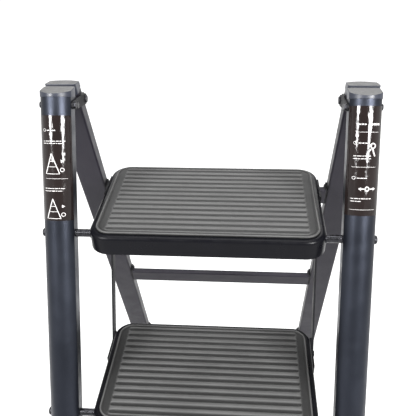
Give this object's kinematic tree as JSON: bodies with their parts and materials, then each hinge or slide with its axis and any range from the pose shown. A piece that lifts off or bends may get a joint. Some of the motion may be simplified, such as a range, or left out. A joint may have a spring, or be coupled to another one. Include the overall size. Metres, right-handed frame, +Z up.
{
  "type": "step ladder",
  "caption": "Folding A-frame step ladder with ribbed treads on pressed pans, half-round rails, a hinged rear frame with crossbars, and link bars that fold the steps together.",
  "frame": {"origin": "on the floor, midway between the front-most and rear-most foot and between the left and right rails", "axes": "+Z up, the climbing side faces -Y, +X to the right of someone facing the ladder"},
  "size_m": [0.4436, 0.79, 0.8684],
  "materials": {
    "rail_paint": "dark blue-grey metallic coat, semi-gloss, on the front rails",
    "rear_paint": "dark warm grey coat, satin, on the rear rails and crossbars",
    "step_paint": "black satin coat on the pressed pans",
    "tread_rubber": "mid grey ribbed mat, matt",
    "cap_plastic": "moulded grey end caps",
    "foot_rubber": "black moulded feet",
    "black_steel": "black coated plates, links and hooks",
    "rod_steel": "darkened steel rods and spacers",
    "fastener_steel": "blackened steel bolts, nuts, screws and rivets",
    "bush_plastic": "black nylon bushes and washers",
    "label_film": "glossy dark film with plain bars"
  },
  "bodies": {
    "front_frame": {"front_cap_left": "cap_plastic", "front_cap_right": "cap_plastic", "front_foot_left": "foot_rubber", "front_foot_right": "foot_rubber", "front_rail_left": "rail_paint", "front_rail_right": "rail_paint", "hinge_plate_bolts": "fastener_steel", "hinge_plate_left": "black_steel", "hinge_plate_nuts": "fastener_steel", "hinge_plate_right": "black_steel", "label_left": "label_film", "label_right": "label_film", "pivot_bolts": "fastener_steel", "pivot_nuts": "fastener_steel", "rod_end_caps": "fastener_steel", "rod_spacers": "rod_steel", "step_rod_bottom": "rod_steel", "step_rod_middle": "rod_steel", "step_rod_top": "rod_steel"},
    "rear_frame": {"crossbar_bracket_lower_left": "black_steel", "crossbar_bracket_lower_right": "black_steel", "crossbar_bracket_middle_left": "black_steel", "crossbar_bracket_middle_right": "black_steel", "crossbar_bracket_upper_left": "black_steel", "crossbar_bracket_upper_right": "black_steel", "crossbar_lower": "rear_paint", "crossbar_middle": "rear_paint", "crossbar_screws": "fastener_steel", "crossbar_upper": "rear_paint", "hinge_bush_left": "bush_plastic", "hinge_bush_right": "bush_plastic", "hinge_washers": "bush_plastic", "rear_cap_left": "cap_plastic", "rear_cap_right": "cap_plastic", "rear_foot_left": "foot_rubber", "rear_foot_right": "foot_rubber", "rear_rail_left": "rear_paint", "rear_rail_right": "rear_paint"},
    "top_step": {"top_step_hook_left": "black_steel", "top_step_hook_right": "black_steel", "top_step_link_pins": "fastener_steel", "top_step_pan": "step_paint", "top_step_pivot_tube": "rod_steel", "top_step_tread": "tread_rubber"},
    "middle_step": {"middle_step_link_pins": "fastener_steel", "middle_step_lug_left": "black_steel", "middle_step_lug_right": "black_steel", "middle_step_pan": "step_paint", "middle_step_pivot_tube": "rod_steel", "middle_step_tread": "tread_rubber"},
    "bottom_step": {"bottom_step_link_pins": "fastener_steel", "bottom_step_lug_left": "black_steel", "bottom_step_lug_right": "black_steel", "bottom_step_pan": "step_paint", "bottom_step_pivot_tube": "rod_steel", "bottom_step_tread": "tread_rubber"},
    "links": {"link_bar_left": "black_steel", "link_bar_right": "black_steel"}
  },
  "joints": [
    {"name": "rear_frame_fold", "type": "hinge", "parent": "front_frame", "child": "rear_frame", "pos_m": [0, 0.05461, 0.836], "axis": [-1, 0, 0], "range_deg": [0, 45]},
    {"name": "top_step_fold", "type": "hinge", "parent": "front_frame", "child": "top_step", "pos_m": [0, -0.06507, 0.6935], "axis": [1, 0, 0], "range_deg": [0, 66.21]},
    {"name": "middle_step_fold", "type": "hinge", "parent": "front_frame", "child": "middle_step", "pos_m": [0, -0.16872, 0.4585], "axis": [1, 0, 0], "range_deg": [0, 66.21]},
    {"name": "bottom_step_fold", "type": "hinge", "parent": "front_frame", "child": "bottom_step", "pos_m": [0, -0.27236, 0.2235], "axis": [1, 0, 0], "range_deg": [0, 66.21]},
    {"name": "link_swing", "type": "hinge", "parent": "top_step", "child": "links", "pos_m": [0, 0.08093, 0.6725], "axis": [-1, 0, 0], "range_deg": [0, 66.21]}
  ],
  "couplings": [
    {"joint": "top_step_fold", "follows": "rear_frame_fold", "ratio": 1.4711},
    {"joint": "middle_step_fold", "follows": "rear_frame_fold", "ratio": 1.4711},
    {"joint": "bottom_step_fold", "follows": "rear_frame_fold", "ratio": 1.4711},
    {"joint": "link_swing", "follows": "rear_frame_fold", "ratio": 1.4711}
  ]
}
